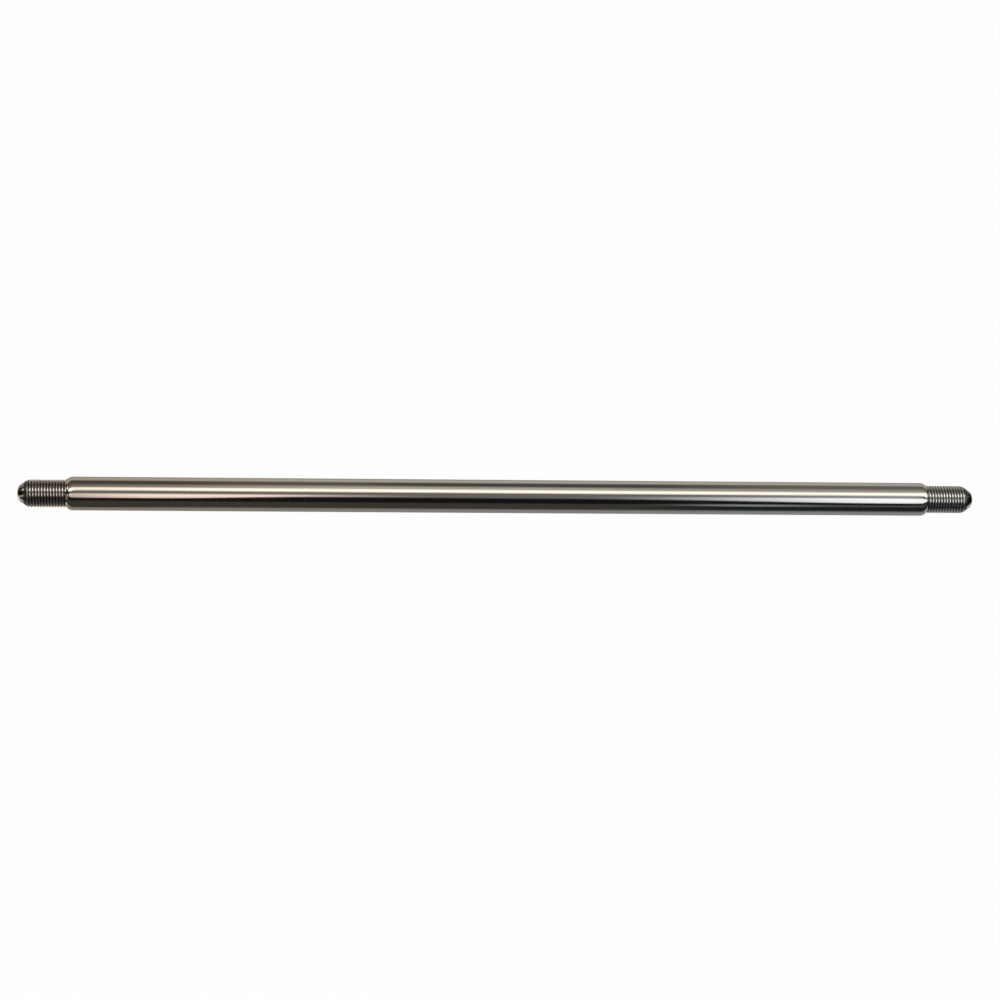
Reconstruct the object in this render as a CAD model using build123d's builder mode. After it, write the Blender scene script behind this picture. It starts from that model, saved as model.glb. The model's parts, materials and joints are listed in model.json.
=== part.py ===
from build123d import *
import os
from math import acos, degrees, sin

# Stepped shaft: one straight steel bar, turned and ground from the solid. Its long body steps
# down at both ends, over a rounded shoulder, to a shorter stud with a tapered and domed nose.
# Millimetres. The axis lies along X, the origin is at mid-length, and the two ends are alike.
# The studs are modelled at the major diameter of their M12 x 1.25 threads.

# Driving dimensions
body_diameter = 14.5     # ground body, which slides or turns in a bush or a seal
body_length = 374.0      # from the foot of one shoulder to the foot of the other
shoulder_radius = 3.8    # convex arc that rolls the body down to the stud
foot_fillet = 0.4        # inside corner where the shoulder meets the stud
stud_diameter = 12.0     # major diameter of the thread
stud_length = 21.0       # from the foot of the shoulder to the tip of the nose
nose_length = 5.0        # from the full stud diameter to the tip
nose_blend = 3.2         # rounds the edge between the stud and the taper of its nose
dome_diameter = 7.3      # where the taper of the nose meets its domed end
dome_height = 1.45       # crown of the domed end

# Radii, and places along the axis, of the right-hand end
body_radius = body_diameter / 2
stud_radius = stud_diameter / 2
shoulder_step = body_radius - stud_radius
shoulder_turn = acos(1 - shoulder_step / shoulder_radius)   # radians that the arc turns through
foot_x = body_length / 2
body_end = foot_x - shoulder_radius * sin(shoulder_turn)
tip_x = foot_x + stud_length


with BuildPart() as stepped_shaft:
    # Half of the lengthwise section, above the axis, from mid-length to the right-hand tip
    with BuildSketch(Plane.XZ) as half_section:
        with BuildLine() as outline:
            body = Line((0, body_radius), (body_end, body_radius))
            shoulder = JernArc(body @ 1, (1, 0), shoulder_radius, -degrees(shoulder_turn))
            stud = Line(shoulder @ 1, (tip_x - nose_length, stud_radius))
            taper = Line(stud @ 1, (tip_x - dome_height, dome_diameter / 2))
            dome = TangentArc((tip_x, 0), taper @ 1, tangent=(0, 1))
            Polyline((tip_x, 0), (0, 0), body @ 0)
        make_face()
        fillet(half_section.vertices().sort_by_distance(stud @ 0)[0], foot_fillet)
        fillet(half_section.vertices().sort_by_distance(stud @ 1)[0], nose_blend)
    revolve(axis=Axis.X)
    mirror(about=Plane.YZ)

stepped_shaft.part.label = "stepped_shaft"

os.makedirs("parts", exist_ok=True)
export_step(stepped_shaft.part, "parts/stepped_shaft.step")
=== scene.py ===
import json
from math import acos, asin, atan2, cos, degrees, pi, radians, sin, sqrt, tan

import bmesh
import bpy
import numpy as np
from mathutils import Matrix, Vector


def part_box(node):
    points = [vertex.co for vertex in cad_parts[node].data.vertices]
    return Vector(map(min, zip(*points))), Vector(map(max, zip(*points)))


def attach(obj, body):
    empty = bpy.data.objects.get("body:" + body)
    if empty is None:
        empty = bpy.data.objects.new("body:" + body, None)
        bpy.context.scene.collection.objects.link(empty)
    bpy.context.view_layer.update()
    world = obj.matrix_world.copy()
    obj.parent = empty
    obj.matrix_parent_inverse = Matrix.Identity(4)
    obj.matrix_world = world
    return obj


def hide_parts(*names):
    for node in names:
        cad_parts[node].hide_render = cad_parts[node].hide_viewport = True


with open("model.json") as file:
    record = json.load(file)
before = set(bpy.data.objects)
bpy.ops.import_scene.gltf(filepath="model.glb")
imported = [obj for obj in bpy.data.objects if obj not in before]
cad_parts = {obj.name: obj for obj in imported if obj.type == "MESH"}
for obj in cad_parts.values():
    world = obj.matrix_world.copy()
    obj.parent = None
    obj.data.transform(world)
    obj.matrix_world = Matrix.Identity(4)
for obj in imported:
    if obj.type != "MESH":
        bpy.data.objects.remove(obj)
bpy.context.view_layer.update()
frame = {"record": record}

# Dressing of a stepped shaft: one straight steel bar, ground along its body, which steps down
# over a rounded shoulder at each end to a threaded stud with a tapered and domed nose.
# Metres. The axis lies along X, with mid-length at the origin.

# ---------------------------------------------------------------------------------------------
# Sizes
# ---------------------------------------------------------------------------------------------

MM = 0.001
mounts = {mount["name"]: mount for mount in frame["record"]["mounts"]}

tip_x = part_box("stepped_shaft")[1].x
body_radius = mounts["journal"]["dims"]["r_mm"] * MM
stud_radius = mounts["right_stud"]["dims"]["r_mm"] * MM

# The outline of the solid, from mid-length to the tip
stud_length = 21.0 * MM      # from the foot of the shoulder to the tip of the nose
shoulder_radius = 3.8 * MM   # convex arc that rolls the body down to the stud
foot_fillet = 0.4 * MM       # inside corner where the shoulder meets the stud
nose_length = 5.0 * MM       # from the full stud to the tip
nose_blend = 3.2 * MM        # rounds the edge between the stud and the taper of its nose
dome_radius = 3.65 * MM      # where the taper meets the domed end
dome_height = 1.45 * MM      # crown of the domed end

# Right-hand thread of the pitch of M12 x 1.25, with wider crests and less depth than the standard
pitch = 1.25 * MM
crest_flat = 0.32 * pitch
root_radius = 0.16 * pitch       # round bottom of the groove
flank_angle = radians(30)        # between a flank and a plane across the axis
sharp_depth = (pitch - crest_flat) / 2 / tan(flank_angle)      # were the groove's bottom sharp
thread_depth = sharp_depth - root_radius * (1 / sin(flank_angle) - 1)
crest_rounding = 0.14 * MM       # how softly flank and crest run into each other
thread_turns = 14
thread_begin = -0.90 * MM        # from the foot of the shoulder to where the first turn begins
run_out_turns = 0.5              # the groove deepens from nothing over this much of its first turn

# Fineness of the mesh
columns = 128                    # round the shaft
body_ring_gap = 4.0 * MM

# Where each thread begins, in columns round from straight back
right_thread_start = 122
left_thread_start = 42


# ---------------------------------------------------------------------------------------------
# The lengthwise section
# ---------------------------------------------------------------------------------------------

def arc(centre, radius, start, end, steps):
    """Points of an arc of the section, (place along the axis, distance from it), both ends kept."""
    turns = np.linspace(start, end, steps + 1)
    return [(centre[0] + radius * cos(turn), centre[1] + radius * sin(turn)) for turn in turns]


def shaft_outline():
    """The section of the right-hand half, from the foot of the body to the tip of the nose."""
    foot_x = tip_x - stud_length
    shoulder_turn = acos(1 - (body_radius - stud_radius) / shoulder_radius)
    shoulder_centre = (foot_x - shoulder_radius * sin(shoulder_turn), body_radius - shoulder_radius)

    # The foot fillet touches the shoulder's arc from outside and the stud from above
    fillet_rise = stud_radius + foot_fillet - shoulder_centre[1]
    fillet_reach = sqrt((shoulder_radius + foot_fillet) ** 2 - fillet_rise ** 2)
    fillet_centre = (shoulder_centre[0] + fillet_reach, stud_radius + foot_fillet)
    touch = atan2(fillet_rise, fillet_reach)

    taper_angle = atan2(stud_radius - dome_radius, nose_length - dome_height)
    blend_start = tip_x - nose_length - nose_blend * tan(taper_angle / 2)
    ball_radius = (dome_height ** 2 + dome_radius ** 2) / (2 * dome_height)

    return (
        arc(shoulder_centre, shoulder_radius, pi / 2, touch, 24)
        + arc(fillet_centre, foot_fillet, pi + touch, 3 * pi / 2, 10)
        + arc((blend_start, stud_radius - nose_blend), nose_blend, pi / 2, pi / 2 - taper_angle, 12)
        + arc((tip_x - ball_radius, 0), ball_radius, asin(dome_radius / ball_radius), 0, 16)
    )


outline_x, outline_r = np.array(shaft_outline()).T
foot_x = tip_x - stud_length
body_end = outline_x[0]


def plain_radius(x):
    """The radius of the unthreaded shaft at a place along its right-hand half."""
    return np.interp(x, outline_x, outline_r)


# ---------------------------------------------------------------------------------------------
# The thread
# ---------------------------------------------------------------------------------------------

# Where the round bottom of the groove runs into its flanks
bottom_half_width = root_radius * cos(flank_angle)
bottom_height = root_radius * (1 - sin(flank_angle))


def groove_height(distance):
    """How far the groove has risen from its bottom at a distance from its centre line."""
    across = np.minimum(distance, bottom_half_width)
    round_bottom = root_radius - np.sqrt(root_radius ** 2 - across ** 2)
    return round_bottom + np.maximum(distance - bottom_half_width, 0) / tan(flank_angle)


def groove_half_width(height):
    """The groove's half width at a height above its bottom."""
    up = np.clip(height, 0, bottom_height)
    round_bottom = np.sqrt(np.maximum(2 * root_radius * up - up ** 2, 0))
    return round_bottom + np.maximum(height - bottom_height, 0) * tan(flank_angle)


def groove_bottom(turns):
    """The radius of the groove's bottom, a number of turns along the thread."""
    rise = np.clip(turns / run_out_turns, 0, 1)
    cut = rise * rise * (3 - 2 * rise)
    return stud_radius + crest_rounding - (thread_depth + crest_rounding) * cut


def soft_smaller(a, b, softness):
    """The smaller of two radii, with the corner between them rounded off."""
    near = np.maximum(softness - np.abs(a - b), 0) / softness
    return np.minimum(a, b) - near * near * softness / 4


def thread_radius(x, turns):
    """The radius at a place along the axis, in the pitch that a number of turns has reached."""
    centre = thread_line(turns) + pitch / 2
    groove = groove_bottom(turns) + groove_height(np.abs(x - centre))
    return soft_smaller(plain_radius(x), groove, crest_rounding)


def thread_line(turns):
    """Where the middle of a crest lies along the axis, a number of turns along the thread."""
    return foot_x + thread_begin + pitch * turns


# Rows of one half of a groove: from its edge to its centre line, as shares of its half width
GROOVE_SHARES = (0.66, 0.40, 0.20)
EDGE_ROW = 0.035 * MM            # a row this far to each side of the edge of a crest
LEAST_HALF_WIDTH = 0.12 * pitch  # rows stay this far apart where the groove has no width


def pitch_rows(turns):
    """The rows of one pitch, measured from the middle of its lower crest, one per entry."""
    centre = thread_line(turns) + pitch / 2
    sides = []
    for side in (-1, 1):
        width = np.full_like(turns, pitch / 4)
        for _ in range(12):
            depth = plain_radius(centre + side * width) - groove_bottom(turns)
            width = np.minimum(groove_half_width(depth), 0.44 * pitch)
        width = np.maximum(width, LEAST_HALF_WIDTH)
        edge = [width + EDGE_ROW, width, width - EDGE_ROW]
        sides.append(edge + [width * share for share in GROOVE_SHARES])
    lower = [pitch / 2 - distance for distance in sides[0]]
    upper = [pitch / 2 + distance for distance in reversed(sides[1])]
    flat = np.zeros_like(turns)
    return [flat] + lower + [flat + pitch / 2] + upper


def stud_rows():
    """Places and radii of the threaded stretch. Rows follow the thread, and a fan of rows at each
    end brings them back to a plain ring. The last column lies on the first, one pitch further."""
    turned = np.linspace(0, 1, columns + 1)
    places, radii = [], []

    first_turn = pitch_rows(np.zeros(1))
    for row in first_turn:
        x = thread_line(0) + row[0] * turned
        places.append(x)
        radii.append(thread_radius(x, turned))
    for turn in range(thread_turns):
        turns = turned + turn
        for row in pitch_rows(turns):
            x = thread_line(turns) + row
            places.append(x)
            radii.append(thread_radius(x, turns))
    last_turn = pitch_rows(np.full(1, float(thread_turns)))
    for row in last_turn + [np.full(1, pitch)]:
        x = thread_line(thread_turns + turned) + row[0] * (1 - turned)
        places.append(x)
        radii.append(thread_radius(x, turned + thread_turns - 1))
    return places, radii


# ---------------------------------------------------------------------------------------------
# The mesh
# ---------------------------------------------------------------------------------------------

GROUND, THREAD, TURNED = range(3)   # the shaft's finishes


def half_rows():
    """Rows of places and radii from mid-length to the right-hand tip, and the finish of each."""
    whole = np.ones(columns + 1)
    body = np.linspace(0, body_end, round(body_end / body_ring_gap) + 1)[:-1]
    shoulder = outline_x[outline_x < thread_line(0) - 0.02 * MM]
    nose = outline_x[outline_x > thread_line(thread_turns + 1) + 0.02 * MM]

    rings = [x * whole for x in [*body, *shoulder]]
    places, radii = stud_rows()
    finishes = [GROUND] * len(rings) + [THREAD] * len(places) + [TURNED] * len(nose)
    places = rings + places + [x * whole for x in nose]
    radii = [plain_radius(ring) for ring in rings] + radii + [plain_radius(x) * whole for x in nose]
    return np.array(places), np.array(radii), finishes


def add_half(points, faces, finishes, side, start):
    """Adds one half of the shaft. side is 1 for the right and -1 for the left, which is the right
    one turned about Z, so that its thread keeps its hand. start is the thread's first column."""
    places, radii, row_finish = half_rows()
    rows = len(places)
    angles = 2 * pi * (np.arange(columns + 1) + start) / columns
    y = radii * np.cos(angles)
    z = radii * np.sin(angles)
    first = len(points)
    points.extend(np.stack((side * places, side * y, z), axis=-1).reshape(-1, 3))
    for row in range(rows - 1):
        here = first + row * (columns + 1)
        above = here + columns + 1
        for column in range(columns):
            faces.append((here + column, here + column + 1, above + column + 1, above + column))
            finishes.append(max(row_finish[row], row_finish[row + 1]))


def make_shaft():
    """The whole shaft as one closed mesh."""
    points, faces, finishes = [], [], []
    add_half(points, faces, finishes, 1, right_thread_start)
    add_half(points, faces, finishes, -1, left_thread_start)
    mesh = bpy.data.meshes.new("threaded_shaft")
    mesh.from_pydata([tuple(point) for point in points], [], faces)
    mesh.polygons.foreach_set("material_index", finishes)
    made = bmesh.new()
    made.from_mesh(mesh)
    bmesh.ops.remove_doubles(made, verts=made.verts, dist=4e-8)
    for face in made.faces:
        face.smooth = True
    made.to_mesh(mesh)
    made.free()
    shaft = bpy.data.objects.new("threaded_shaft", mesh)
    bpy.context.scene.collection.objects.link(shaft)
    return shaft


# ---------------------------------------------------------------------------------------------
# Shader wiring
# ---------------------------------------------------------------------------------------------

class Wire:
    """One output of a shader's nodes. Sums written with it add Math nodes for values, and Vector
    Math nodes for colours and positions."""

    def __init__(self, bench, socket):
        self.bench = bench
        self.socket = socket

    def __add__(self, other):
        return self.bench.sum("ADD", self, other)

    def __radd__(self, other):
        return self.bench.sum("ADD", other, self)

    def __sub__(self, other):
        return self.bench.sum("SUBTRACT", self, other)

    def __rsub__(self, other):
        return self.bench.sum("SUBTRACT", other, self)

    def __mul__(self, other):
        return self.bench.sum("MULTIPLY", self, other)

    def __rmul__(self, other):
        return self.bench.sum("MULTIPLY", other, self)

    def __truediv__(self, other):
        return self.bench.sum("DIVIDE", self, other)

    def __rtruediv__(self, other):
        return self.bench.sum("DIVIDE", other, self)

    def __abs__(self):
        return self.bench.sum("ABSOLUTE", self)

    def __neg__(self):
        return self.bench.sum("MULTIPLY", self, -1.0)

    def part(self, name):
        """Another output of the same node."""
        return Wire(self.bench, self.socket.node.outputs[name])


class Bench:
    """The node tree of one material or world, with its old nodes cleared away."""

    def __init__(self, owner):
        owner.use_nodes = True
        self.tree = owner.node_tree
        self.tree.nodes.clear()

    def node(self, kind, settings=None, **sockets):
        """Adds a node of a kind. Its settings come first, then a value or a wire for each socket,
        named by identifier with _ for a space. Gives its first shown output."""
        made = self.tree.nodes.new("ShaderNode" + kind)
        for name, value in (settings or {}).items():
            setattr(made, name, value)
        known = {socket.identifier.replace(" ", "_"): socket for socket in made.inputs}
        for name, value in sockets.items():
            if isinstance(value, Wire):
                self.tree.links.new(value.socket, known[name])
            else:
                known[name].default_value = value
        shown = [socket for socket in made.outputs if socket.enabled]
        return Wire(self, shown[0]) if shown else None

    def sum(self, operation, *terms):
        """A Math node, or a Vector Math node where a term is a colour or a position."""
        flat = all(
            term.socket.type == "VALUE" if isinstance(term, Wire) else not isinstance(term, tuple)
            for term in terms
        )
        if flat:
            names = ("Value", "Value_001", "Value_002")
            return self.node("Math", {"operation": operation}, **dict(zip(names, terms)))
        wide = [term if isinstance(term, (Wire, tuple)) else (term,) * 3 for term in terms]
        names = ("Vector", "Vector_001", "Vector_002")
        return self.node("VectorMath", {"operation": operation}, **dict(zip(names, wide)))

    def mix(self, start, end, share):
        """A colour between two colours."""
        ends = [end if isinstance(end, Wire) else (*end, 1.0) for end in (start, end)]
        settings = {"data_type": "RGBA"}
        return self.node("Mix", settings, Factor_Float=share, A_Color=ends[0], B_Color=ends[1])

    def ramp(self, value, low, high):
        """Rises softly from 0 to 1 as a value goes from low to high."""
        settings = {"interpolation_type": "SMOOTHSTEP"}
        return self.node("MapRange", settings, Value=value, From_Min=low, From_Max=high)

    def band(self, value, low, high, soft):
        """1 between low and high and 0 outside, with edges of a soft width."""
        rise = self.ramp(value, low - soft / 2, low + soft / 2)
        fall = self.ramp(value, high - soft / 2, high + soft / 2)
        return rise * (1 - fall)

    def noise(self, place, stretch, detail=2.0, roughness=0.5):
        """Noise with so many grains to a metre along X, Y and Z."""
        grains = place * stretch
        return self.node("TexNoise", Vector=grains, Scale=1.0, Detail=detail, Roughness=roughness)


# ---------------------------------------------------------------------------------------------
# Finishes
# ---------------------------------------------------------------------------------------------

BRIGHT_STEEL = (0.62, 0.60, 0.57)
STRAW_TINT = (0.66, 0.60, 0.50)
VIOLET_TINT = (0.64, 0.58, 0.58)
SATIN_STEEL = (0.44, 0.42, 0.40)
# Nearly black steel for the thread's roots: partly oil, partly painted shade where the groove is
# deepest
OIL_AND_SHADE_STEEL = (0.10, 0.095, 0.09)
TURNED_STEEL = (0.40, 0.385, 0.365)


def steel(name):
    """A metal material: its bench, and the place on the shaft and the distance from its axis."""
    material = bpy.data.materials.new(name)
    bench = Bench(material)
    place = bench.node("TexCoord").part("Object")
    split = bench.node("SeparateXYZ", Vector=place)
    across = place * (0.0, 1.0, 1.0)
    radius = bench.node("VectorMath", {"operation": "LENGTH"}, Vector=across).part("Value")
    return material, bench, place, split.part("X"), radius


def finish_metal(bench, colour, roughness, height, relief):
    """A metal surface whose small relief, in metres, follows a height from 0 to 1."""
    normal = bench.node("Bump", Height=height, Distance=relief)
    surface = bench.node(
        "BsdfPrincipled", Base_Color=colour, Metallic=1.0, Roughness=roughness, Normal=normal
    )
    bench.node("OutputMaterial", Surface=surface)


def ground_steel():
    """Centreless-ground and polished body: fine lines round it, with a faint tint that drifts."""
    material, bench, place, _, _ = steel("ground_steel")
    lines = bench.noise(place, (9000.0, 160.0, 160.0), 3.0, 0.6)
    passes = bench.noise(place, (170.0, 25.0, 25.0), 2.0)
    drift = bench.noise(place, (9.0, 45.0, 45.0), 1.0)
    smudges = bench.noise(place, (60.0, 140.0, 140.0), 4.0, 0.6)
    tinted = bench.mix(STRAW_TINT, VIOLET_TINT, bench.ramp(drift, 0.35, 0.65))
    colour = bench.mix(BRIGHT_STEEL, tinted, 0.15 + 0.35 * bench.ramp(passes, 0.3, 0.8))
    colour = colour * (0.96 + 0.06 * lines)
    roughness = 0.085 + 0.03 * passes + 0.02 * bench.ramp(smudges, 0.45, 0.8) + 0.02 * lines
    finish_metal(bench, colour, roughness, lines, 0.6e-6)
    return material


def thread_steel():
    """Cut thread: bright crests, satin flanks drawn along the thread, and oil in the roots, which are
    darkened further by painted shade.
    """
    material, bench, place, _, radius = steel("thread_steel")
    height = (radius - (stud_radius - thread_depth)) / thread_depth
    crest = bench.ramp(height, 0.60, 0.95)
    chatter = bench.noise(place, (14000.0, 500.0, 500.0), 3.0, 0.6)
    film = bench.noise(place, (500.0, 500.0, 500.0), 3.0)
    # Flanks turn nearly black towards the groove's bottom: partly oil, partly painted shade of the
    # recess
    flank = bench.mix(OIL_AND_SHADE_STEEL, SATIN_STEEL, bench.ramp(height, 0.0, 0.45 + 0.1 * film))
    colour = bench.mix(flank, BRIGHT_STEEL, crest)
    roughness = 0.30 - 0.20 * crest + 0.05 * film + 0.03 * chatter
    finish_metal(bench, colour, roughness, chatter, 1.5e-6)
    return material


def turned_steel():
    """Nose as it left the lathe: fine rings, a little darker than the ground body."""
    material, bench, place, _, radius = steel("turned_steel")
    rings = bench.node("TexNoise", {"noise_dimensions": "1D"}, W=radius * 9000.0, Scale=1.0)
    film = bench.noise(place, (300.0, 300.0, 300.0), 3.0)
    colour = bench.mix(TURNED_STEEL, BRIGHT_STEEL, 0.3 + 0.6 * film)
    roughness = 0.09 + 0.04 * film + 0.03 * rings
    finish_metal(bench, colour, roughness, rings, 1.0e-6)
    return material


shaft = make_shaft()
for finish in (ground_steel, thread_steel, turned_steel):
    shaft.data.materials.append(finish())
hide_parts("stepped_shaft")
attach(shaft, "root")


# ---------------------------------------------------------------------------------------------
# Camera
# ---------------------------------------------------------------------------------------------

camera_elevation = radians(35)
camera_distance = 1127.7 * MM   # along its own line of sight, to the shaft
camera_swing = radians(5.26)    # brings the left-hand end nearer
camera_roll = radians(0.394)    # lets the right-hand end hang lower
camera_aim_x = -1.1 * MM        # place on the shaft that stands in the middle
camera_drop = 1.52 * MM         # the line of sight passes this far below the axis
camera_lens = 93.6              # focal length in millimetres
camera_sensor = 36.0            # its width, in millimetres too


def place_camera():
    """A long lens across the shaft."""
    along = Vector((1, 0, 0))
    back = Vector((0, -cos(camera_elevation), sin(camera_elevation)))
    forward = along * sin(camera_swing) - back * cos(camera_swing)
    level = along * cos(camera_swing) + back * sin(camera_swing)
    upright = level.cross(forward)
    right = level * cos(camera_roll) + upright * sin(camera_roll)
    up = upright * cos(camera_roll) - level * sin(camera_roll)
    eye = along * camera_aim_x - up * camera_drop - forward * camera_distance

    lens = bpy.data.cameras.new("camera")
    lens.lens = camera_lens
    lens.sensor_width = camera_sensor
    lens.clip_end = 20.0
    camera = bpy.data.objects.new("camera", lens)
    turn = Matrix((right, up, -forward)).transposed()
    camera.matrix_world = Matrix.Translation(eye) @ turn.to_4x4()
    bpy.context.scene.collection.objects.link(camera)
    bpy.context.scene.camera = camera


place_camera()


# ---------------------------------------------------------------------------------------------
# Studio
# ---------------------------------------------------------------------------------------------

floor_drop = 0.30            # below the shaft, so that its shadow is wide and faint
tent_radius = 0.25           # a tube of cloth panels round the shaft, open at the back
tent_half_length = 1.25
tent_window = 0.45           # half the length of the open stretch at the back
tent_window_angle = 168      # the opening begins this many degrees from the front
room_light = 0.75            # the world's light on all that isn't mirror-bright
floor_glow = 0.94            # share of the floor that shows plain white, and the rest takes shadow

CREAM = (1.0, 0.97, 0.87)
PINK = (1.0, 0.81, 0.76)
COOL = (0.93, 0.99, 1.0)
OLIVE = (1.0, 0.97, 0.72)
ROSE = (1.0, 0.87, 0.80)
SKY = (0.90, 1.0, 1.06)
AMBER = (1.0, 0.84, 0.72)
STRAW = (1.0, 0.97, 0.86)


def stage_object(name, mesh):
    """An object of the studio, not of the shaft."""
    thing = bpy.data.objects.new(name, mesh)
    bpy.context.scene.collection.objects.link(thing)
    return thing


def seen(bench):
    """1 for what the camera sees, also in metal or through glass, and 0 for the room's light."""
    path = bench.node("LightPath")
    both = path.part("Is Camera Ray") + path.part("Is Glossy Ray")
    return bench.ramp(both + path.part("Is Transmission Ray"), 0.0, 1.0)


def white_world():
    """A white background, and an even pale light."""
    world = bpy.data.worlds.new("studio")
    bpy.context.scene.world = world
    bench = Bench(world)
    strength = room_light + (1 - room_light) * seen(bench)
    background = bench.node("Background", Color=(1, 1, 1, 1), Strength=strength)
    bench.node("OutputWorld", Surface=background)


def pale_floor():
    """A wide pale floor that keeps a share of the shadow."""
    reach = 12.0
    corners = [(-reach, -reach), (reach, -reach), (reach, reach), (-reach, reach)]
    mesh = bpy.data.meshes.new("floor")
    mesh.from_pydata([(x, y, -floor_drop) for x, y in corners], [], [(0, 1, 2, 3)])
    material = bpy.data.materials.new("pale_floor")
    bench = Bench(material)
    paint = bench.node("BsdfDiffuse", Color=(0.95, 0.95, 0.95, 1.0))
    glow = bench.node("Emission", Color=(1, 1, 1, 1), Strength=1.0)
    share = floor_glow * seen(bench)
    surface = bench.node("MixShader", Fac=share, Shader=paint, Shader_001=glow)
    bench.node("OutputMaterial", Surface=surface)
    mesh.materials.append(material)
    stage_object("floor", mesh)


def soft_lamp():
    """A large soft lamp overhead, for the floor and all that isn't mirror-bright."""
    lamp = bpy.data.lights.new("soft_lamp", "AREA")
    lamp.shape = "DISK"
    lamp.size = 1.6
    lamp.energy = 9.0
    thing = bpy.data.objects.new("soft_lamp", lamp)
    thing.location = (-0.3, -0.5, 1.6)
    thing.rotation_euler = (-thing.location).to_track_quat("-Z", "Y").to_euler()
    thing.visible_camera = False
    thing.visible_glossy = False
    bpy.context.scene.collection.objects.link(thing)


def over_tint(bench, along):
    """The tint of what lies over the shaft: amber to the left, and straw further on."""
    return bench.mix(AMBER, STRAW, bench.ramp(along, -0.24, -0.04))


def under_tint(bench, along):
    """The tint of what lies in front and below: rose to the left, and sky to the right."""
    return bench.mix(ROSE, SKY, bench.ramp(along, -0.22, 0.22))


def upper_panels(bench, along, turn, past_left, past_body):
    """The long cream lamp, its spill, the brown gap over it, and the grey front below it."""
    over = over_tint(bench, along)
    lit = bench.ramp(along, -0.56, -0.42)
    lamp_share = 0.82 + 0.18 * bench.ramp(along, -0.21, -0.12) + 0.45 * past_body
    lamp_turn = turn + 5 * past_left
    light = 1.75 * lit * lamp_share * bench.band(lamp_turn, 23, 44, 14) * CREAM

    # The left-hand end gets less of the spill
    spill_share = 0.40 + 0.60 * bench.ramp(along, -0.22, -0.05)
    spill_share = spill_share - 0.2 * bench.ramp(along, 0.02, 0.15)
    light = light + 0.60 * spill_share * bench.band(turn, 44, 66, 20) * over

    # The gap is lighter in two places
    gap_share = 0.08 + 0.05 * bench.band(along, -0.13, -0.04, 0.05)
    gap_share = gap_share + 0.09 * bench.ramp(along, 0.09, 0.18)
    light = light + gap_share * bench.band(turn, 66, 98, 12) * over

    # The front is brighter to the right
    front = 0.20 * bench.band(turn, -12, 18, 10)
    front = front + 0.21 * bench.ramp(along, 0.10, 0.24) * bench.band(turn, 4, 20, 8)
    return light + (1 - past_body) * front * under_tint(bench, along)


def lower_panels(bench, along, turn, past_body):
    """A rosy panel low in front at the left, a white one at the right, and faint streaks under
    them."""
    lit = bench.ramp(along, -0.56, -0.42)
    rosy = (0.3 + 0.7 * bench.ramp(along, -0.235, -0.155)) * (1 - bench.ramp(along, -0.12, -0.01))
    rosy_turn = turn - 18 * bench.ramp(along, -0.165, -0.06)
    rosy_band = bench.ramp(rosy_turn, -30, -22) * (1 - bench.ramp(turn, -6, 8))
    light = 1.38 * lit * rosy * rosy_band * PINK
    pale_end = bench.band(along, -0.40, -0.213, 0.014)
    light = light + 0.55 * pale_end * bench.band(turn, -22, 3, 8) * STRAW

    white = bench.ramp(along, 0.06, 0.24)
    white_turn = turn + 13.5 * bench.ramp(along, 0.10, 0.23) - 4 * past_body
    white_band = bench.ramp(white_turn, -18, -12) * (1 - bench.ramp(turn, -1, 9))
    light = light + 1.52 * white * white_band * COOL

    right_half = bench.ramp(along, 0.08, 0.14)
    light = light + 0.050 * (1 - right_half) * bench.band(turn, -92, -48, 12) * OLIVE
    light = light + 0.012 * right_half * bench.band(turn, -100, -66, 12) * SKY
    streak = 0.09 * right_half + 0.26 * bench.band(along, 0.13, 0.18, 0.05)
    return light + streak * bench.band(turn, -59, -44, 6) * SKY


def surroundings(bench, along, turn):
    """The pale room above and below the panels, on both sides of mid-length."""
    near = 1 - bench.ramp(abs(along), 0.34, 0.62)
    above = 0.56 * bench.ramp(turn, 92, 112) - 0.22 * bench.ramp(turn, 126, 154)
    low_turn = turn + 6 * (1 - bench.ramp(along, -0.20, -0.12))
    below = 0.34 * (1 - bench.ramp(low_turn, -112, -86))
    below = below + 0.16 * (1 - bench.ramp(turn, -164, -146))
    light = near * above * over_tint(bench, along)
    return light + near * below * under_tint(bench, along)


def end_cards(bench, along, turn):
    """Cards past the ends of the shaft, for its shoulders and the tapers of its noses."""
    under = under_tint(bench, along)
    low_back = bench.band(turn, -160, -122, 10)
    light = 1.1 * bench.band(along, -0.72, -0.42, 0.1) * low_back * under
    light = light + 0.5 * bench.band(along, 0.42, 0.72, 0.1) * low_back * under
    tip_card = bench.band(along, -1.10, -0.74, 0.06) * bench.band(turn, -135, -35, 20)
    light = light + 0.40 * tip_card * STRAW

    off_tips = abs(along - 0.06)
    light = light + 1.5 * bench.band(off_tips, 0.60, 0.84, 0.06) * bench.band(turn, 48, 80, 10) * STRAW
    light = light + 1.1 * bench.band(off_tips, 0.72, 0.98, 0.06) * bench.band(turn, -36, -8, 8) * STRAW
    return light + 1.3 * bench.band(along, 0.38, 0.66, 0.08) * bench.band(turn, 42, 60, 10) * STRAW


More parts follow.
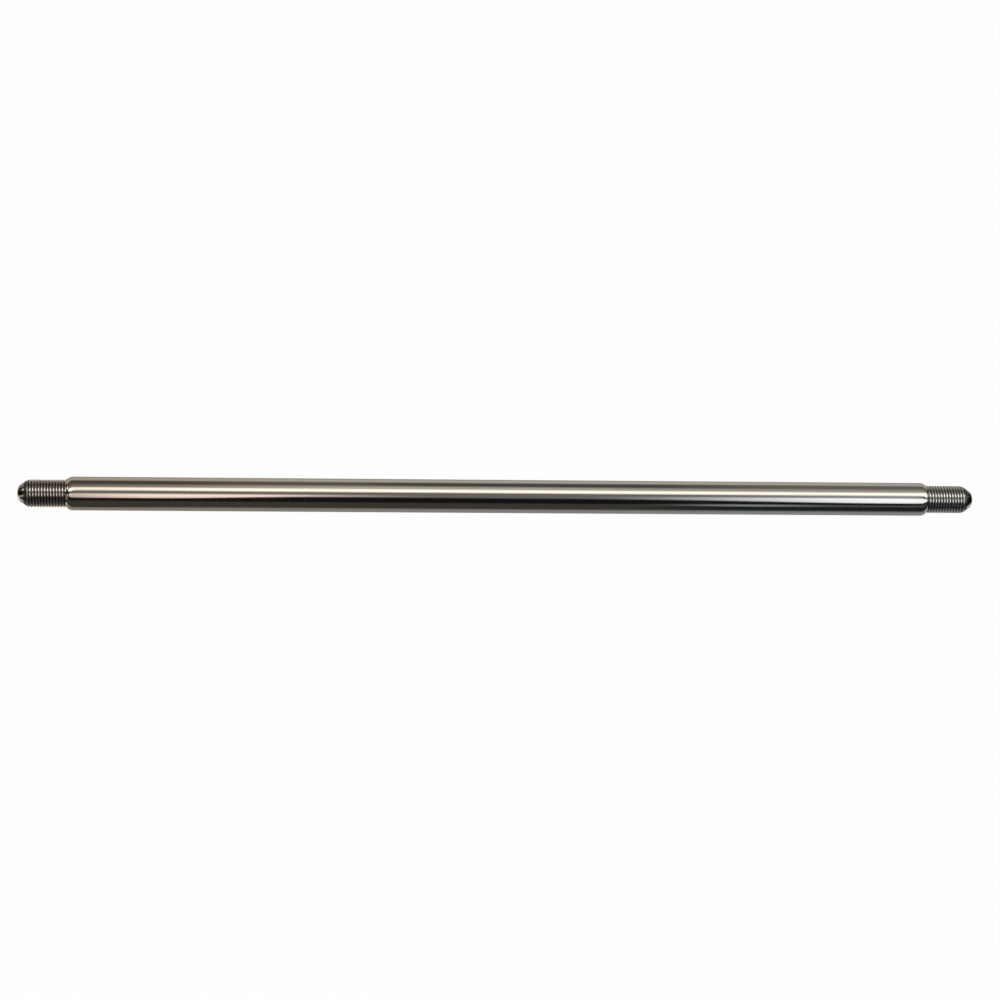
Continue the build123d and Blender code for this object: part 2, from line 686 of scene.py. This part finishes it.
def tent_light(bench):
    """What the tent's panels shed, by their angle round the shaft and their place along it. The
    angle is in degrees, 0 towards the camera's side, and rises over the top."""
    place = bench.node("TexCoord").part("Object")
    split = bench.node("SeparateXYZ", Vector=place)
    along = split.part("X")
    turn = bench.sum("ARCTAN2", split.part("Z"), -split.part("Y")) * degrees(1)

    # Places that the ground body doesn't mirror, but the studs do
    past_left = 1 - bench.ramp(along, -0.214, -0.203)
    past_body = past_left + bench.ramp(along, 0.248, 0.258)

    light = 0.010 * under_tint(bench, along)
    light = light + upper_panels(bench, along, turn, past_left, past_body)
    light = light + lower_panels(bench, along, turn, past_body)
    light = light + surroundings(bench, along, turn)
    light = light + end_cards(bench, along, turn)
    # The ends of the tent are dark
    return light * (1 - bench.ramp(abs(along), 0.95, 1.15))


def light_tent():
    """The tent: a tube of panels, out of the camera's sight, that the steel mirrors."""
    sides, stations = 120, 50
    made = bmesh.new()
    rings = []
    for station in range(stations + 1):
        x = tent_half_length * (2 * station / stations - 1)
        ring = []
        for side in range(sides):
            turn = 2 * pi * side / sides
            spot = (x, -tent_radius * cos(turn), tent_radius * sin(turn))
            ring.append(made.verts.new(spot))
        rings.append(ring)
    for station in range(stations):
        middle = tent_half_length * (2 * (station + 0.5) / stations - 1)
        for side in range(sides):
            turn = abs(degrees(2 * pi * (side + 0.5) / sides) - 180)
            if abs(middle) < tent_window and turn < 180 - tent_window_angle:
                continue
            after = (side + 1) % sides
            low, high = rings[station], rings[station + 1]
            made.faces.new((low[side], low[after], high[after], high[side]))
    for ring in (rings[0], rings[-1]):
        made.faces.new(ring)
    mesh = bpy.data.meshes.new("light_tent")
    made.to_mesh(mesh)
    made.free()
    material = bpy.data.materials.new("tent_cloth")
    bench = Bench(material)
    cloth = bench.node("Emission", Color=tent_light(bench), Strength=1.0)
    bench.node("OutputMaterial", Surface=cloth)
    mesh.materials.append(material)
    tent = stage_object("light_tent", mesh)
    tent.rotation_euler = (-camera_elevation, 0, 0)
    tent.visible_camera = False
    tent.visible_diffuse = False
    tent.visible_shadow = False


white_world()
pale_floor()
soft_lamp()
light_tent()

bpy.context.scene.view_settings.view_transform = "Standard"
